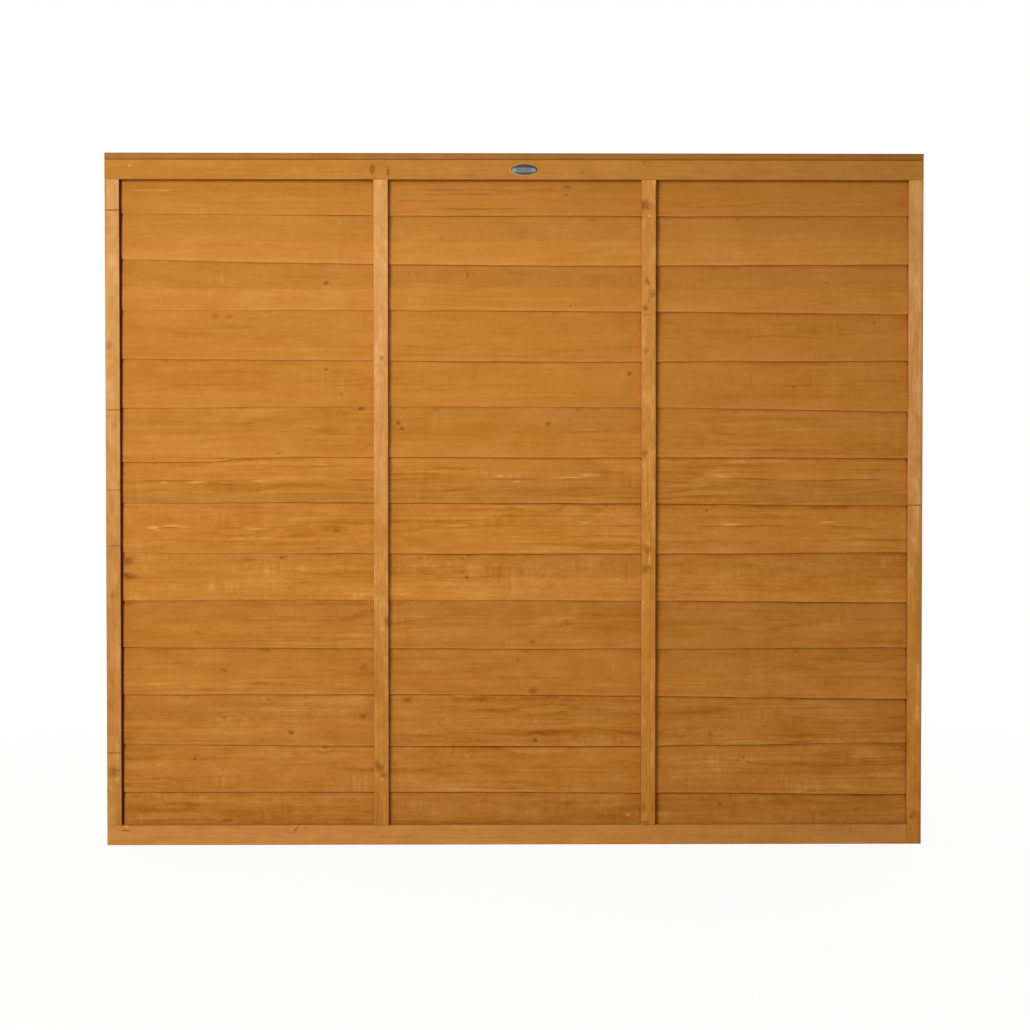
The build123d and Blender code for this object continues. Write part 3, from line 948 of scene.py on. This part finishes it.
low, high = map(Vector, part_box("oval_plate"))
plateLength, plateHeight = high.x - low.x, high.z - low.z
bm = bmesh.new()
disc = ovalDisc(bm, plateLength, plateHeight)
walls = bmesh.ops.extrude_face_region(bm, geom=[disc])
top = [f for f in walls["geom"] if isinstance(f, bmesh.types.BMFace)]
bmesh.ops.translate(bm, vec=(0, 0, plate["rimDepth"]), verts=top[0].verts)
bmesh.ops.inset_region(bm, faces=top, thickness=plate["rimEase"], depth=plate["borderRise"])
for face in bm.faces:
    face.material_index = 1
top[0].material_index = 0
field = ovalDisc(bm, plate["fieldLength"], plate["fieldHeight"])
for vert in field.verts:
    share = abs(vert.co.y) / (plate["fieldHeight"] / 2)
    flattened = share ** plate["fieldFlat"] * plate["fieldHeight"] / 2
    vert.co.y = math.copysign(flattened, vert.co.y) - plate["fieldDrop"]
fieldLift = plate["rimDepth"] + plate["borderRise"] - plate["fieldSink"]
bmesh.ops.translate(bm, vec=(0, 0, fieldLift), verts=field.verts)
for inset, rise in plate["fieldCrown"]:
    ring = bmesh.ops.inset_region(bm, faces=[field], thickness=inset * mm, depth=rise * mm)
    for face in ring["faces"]:
        face.material_index = 2
field.material_index = 2
stand = Matrix.Translation(((low.x + high.x) / 2, high.y, (low.z + high.z) / 2))
bmesh.ops.transform(bm, matrix=stand @ Matrix.Rotation(math.pi / 2, 4, "X"), verts=bm.verts)
plateMesh = bpy.data.meshes.new("bare_oval_plate")
bm.to_mesh(plateMesh)
bm.free()
plateMesh.shade_smooth()
plateMesh.set_sharp_from_angle(angle=math.radians(plate["sharpAngle"]))
for material in (plateEnamel, rimHighlightMetal, plateMetal):
    plateMesh.materials.append(material)
platePiece = bpy.data.objects.new("bare_oval_plate", plateMesh)
bpy.context.collection.objects.link(platePiece)
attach(platePiece, "root")
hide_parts("oval_plate")
print("plate made")

# Floor and studio light: white to the eye, with the panel's own shadow left on the floor
studio = {
    "floorReach": 60.0,
    "floorColour": "#e9e7e3",
    "floorWhite": 0.94,  # how white the floor is seen round the panel
    "floorFade": (1.2, 3.0),  # metres over which it turns all white
    "ambient": 0.18,
    "lamps": {  # place, size in metres, watts
        "key": ((-1.05, -2.6, 1.75), 1.4, 64),
        "rear_left": ((-2.4, 3.0, 2.2), 2.0, 70),
        "rear_right": ((2.6, 3.2, 2.4), 2.0, 92),
    },
    "lampAim": (0.0, 0.0, 0.78),
}


def seenWhite(tree):
    path = addNode(tree, "LightPath").outputs
    seen = path["Is Camera Ray"]
    for ray in ("Is Glossy Ray", "Is Transmission Ray"):
        seen = addNode(tree, "Math", [seen, path[ray]], operation="MAXIMUM").outputs[0]
    return seen


floorMaterial = newMaterial("pale_studio_floor")
tree = floorMaterial.node_tree
paint = addNode(tree, "BsdfDiffuse", {"Color": linearColour(studio["floorColour"])}).outputs[0]
glow = addNode(tree, "Emission", {"Color": linearColour("#ffffff"), "Strength": 1.0}).outputs[0]
place = addNode(tree, "TexCoord").outputs["Object"]
reach = addNode(tree, "VectorMath", [place], operation="LENGTH").outputs["Value"]
white = addNode(tree, "MapRange", [reach, *studio["floorFade"], studio["floorWhite"], 1.0]).outputs[0]
share = addNode(tree, "Math", [seenWhite(tree), white], operation="MULTIPLY").outputs[0]
blend = addNode(tree, "MixShader", [share, paint, glow]).outputs[0]
addNode(tree, "OutputMaterial", [blend])
bm = bmesh.new()
bmesh.ops.create_grid(bm, x_segments=1, y_segments=1, size=studio["floorReach"] / 2)
floorMesh = bpy.data.meshes.new("floor")
bm.to_mesh(floorMesh)
bm.free()
floorMesh.materials.append(floorMaterial)
floor = bpy.data.objects.new("floor", floorMesh)
bpy.context.collection.objects.link(floor)

world = bpy.data.worlds.new("studio")
bpy.context.scene.world = world
world.use_nodes = True
tree = world.node_tree
tree.nodes.clear()
white = addNode(tree, "Background", {"Color": linearColour("#ffffff"), "Strength": 1.0}).outputs[0]
dim = addNode(tree, "Background",
              {"Color": linearColour("#ffffff"), "Strength": studio["ambient"]}).outputs[0]
mixed = addNode(tree, "MixShader", [seenWhite(tree), dim, white]).outputs[0]
addNode(tree, "OutputWorld", [mixed])

for name, (place, size, watts) in studio["lamps"].items():
    lampData = bpy.data.lights.new(name, "AREA")
    lampData.shape = "DISK"
    lampData.size = size
    lampData.energy = watts
    lamp = bpy.data.objects.new(name, lampData)
    lamp.location = place
    lamp.rotation_euler = (Vector(studio["lampAim"]) - Vector(place)).to_track_quat("-Z",
                                                                                    "Y").to_euler()
    bpy.context.collection.objects.link(lamp)
print("floor and lights set")
